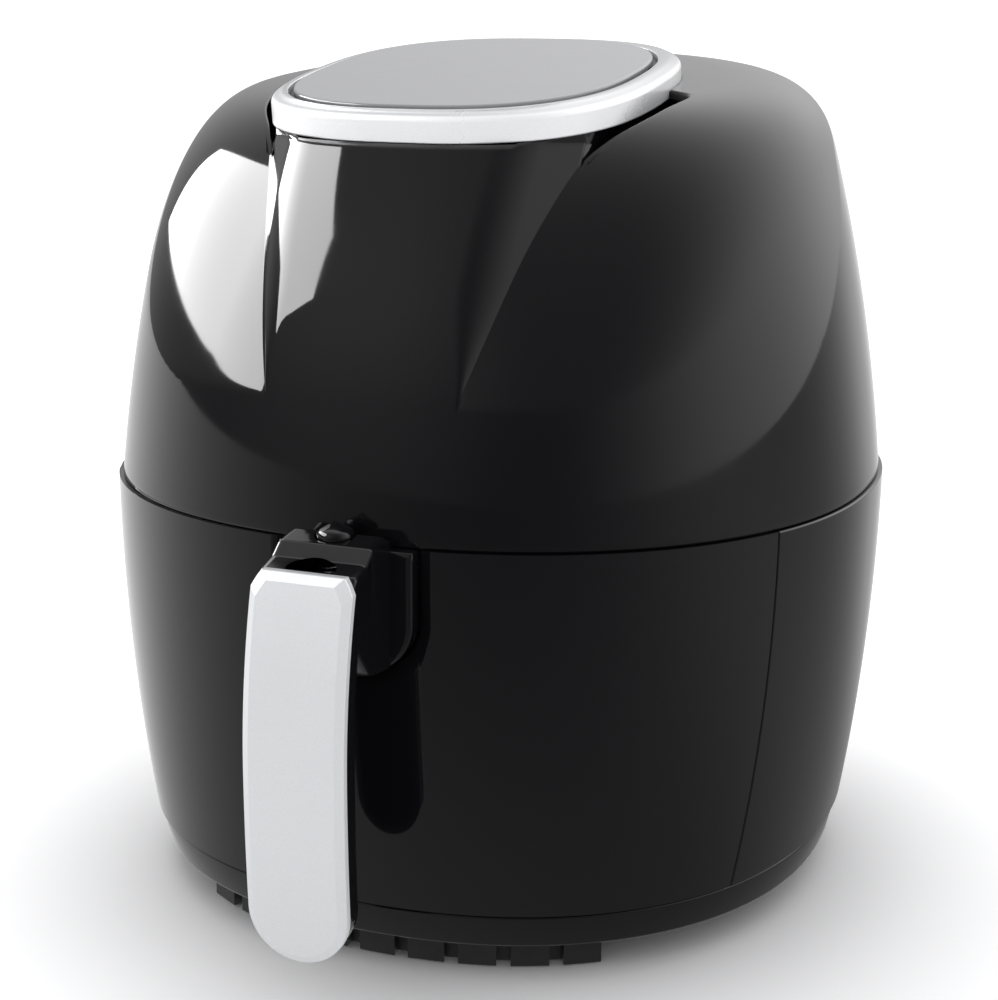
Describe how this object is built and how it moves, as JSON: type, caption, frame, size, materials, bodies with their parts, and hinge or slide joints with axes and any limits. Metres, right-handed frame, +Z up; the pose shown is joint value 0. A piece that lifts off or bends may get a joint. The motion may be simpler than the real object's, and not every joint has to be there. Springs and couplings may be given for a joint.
{
  "type": "air fryer",
  "caption": "Drawer air fryer with a rounded black body, a tilted oval touch panel in a silver ring, and a vertical silver handle with a release button.",
  "frame": {"origin": "centre of the footprint, on the surface that the rubber feet stand on", "axes": "+Z up; the drawer opens towards -Y; +X is to the right of someone facing the front's opposite way, looking along +Y"},
  "size_m": [0.28, 0.3318, 0.3052],
  "materials": {
    "gloss_black": "polished moulded plastic",
    "matt_black": "fine-grained moulded plastic",
    "satin_silver": "satin silver coat on moulded plastic",
    "pressed_steel": "pressed bright sheet",
    "spring_steel": "plated wire and turned steel",
    "nonstick_coating": "non-stick coating, slightly textured",
    "heater_sheath": "oxidised dark sheath",
    "rubber": "matt",
    "copper": "varnished copper wire and sintered bronze",
    "aluminium": "pressed, satin",
    "circuit_board": "green solder resist",
    "white_plastic": "natural moulded plastic",
    "panel_glass": "smoked glass with a mirror-like face"
  },
  "bodies": {
    "housing": {"upper_housing": "gloss_black", "lower_housing": "gloss_black", "base_skirt": "gloss_black", "front_frame": "matt_black", "base_plate": "matt_black", "foot_grille_front": "matt_black", "foot_grille_back": "matt_black", "glass_seat": "matt_black", "board_tray": "matt_black", "exhaust_grille": "matt_black", "cord_bushing": "matt_black", "bezel_ring": "satin_silver", "heat_reflector": "pressed_steel", "heat_shield": "pressed_steel", "coil_hanger_1": "pressed_steel", "coil_hanger_2": "pressed_steel", "coil_hanger_3": "pressed_steel", "motor_stator": "pressed_steel", "exhaust_duct": "pressed_steel", "cavity_liner": "pressed_steel", "base_screw_1": "spring_steel", "base_screw_2": "spring_steel", "base_screw_3": "spring_steel", "base_screw_4": "spring_steel", "heater_guard": "spring_steel", "temperature_sensor": "spring_steel", "heater_coil": "heater_sheath", "rubber_foot_1": "rubber", "rubber_foot_2": "rubber", "rubber_foot_3": "rubber", "rubber_foot_4": "rubber", "motor_winding": "copper", "lower_bearing": "copper", "upper_bearing": "copper", "power_transformer": "copper", "motor_bracket": "aluminium", "motor_bridge": "aluminium", "control_board": "circuit_board", "power_board": "circuit_board", "display_module": "white_plastic", "thermal_cutout": "white_plastic", "slide_rail_left": "white_plastic", "slide_rail_right": "white_plastic", "drawer_switch": "white_plastic", "touch_glass": "panel_glass"},
    "drawer": {"drawer_front": "gloss_black", "drawer_back_panel": "matt_black", "pan": "nonstick_coating", "basket": "nonstick_coating", "handle_cover": "satin_silver", "handle_core": "matt_black", "handle_bracket": "gloss_black", "button_spring": "spring_steel"},
    "button": {"release_button": "gloss_black"},
    "latch": {"release_latch": "spring_steel"},
    "rotor": {"fan_shaft": "spring_steel", "hot_air_fan": "aluminium", "fan_nut": "spring_steel", "rotor_core": "pressed_steel", "cooling_fan": "white_plastic"}
  },
  "joints": [
    {"name": "drawer_slide", "type": "slide", "parent": "housing", "child": "drawer", "axis": [0, -1, 0], "range_m": [0, 0.19]},
    {"name": "button_press", "type": "slide", "parent": "drawer", "child": "button", "axis": [0, 0, -1], "range_m": [0, 0.0025], "stiffness_N_per_m": 400, "springref_m": -0.002, "deforming": ["button_spring"]},
    {"name": "latch_draw", "type": "slide", "parent": "drawer", "child": "latch", "axis": [0, -1, 0], "range_m": [0, 0.0025]},
    {"name": "fan_spin", "type": "hinge", "parent": "housing", "child": "rotor", "pos_m": [0, 0.02105, 0.2], "axis": [0, 0, 1], "continuous": true}
  ],
  "couplings": [
    {"joint": "latch_draw", "follows": "button_press", "ratio": 1}
  ]
}
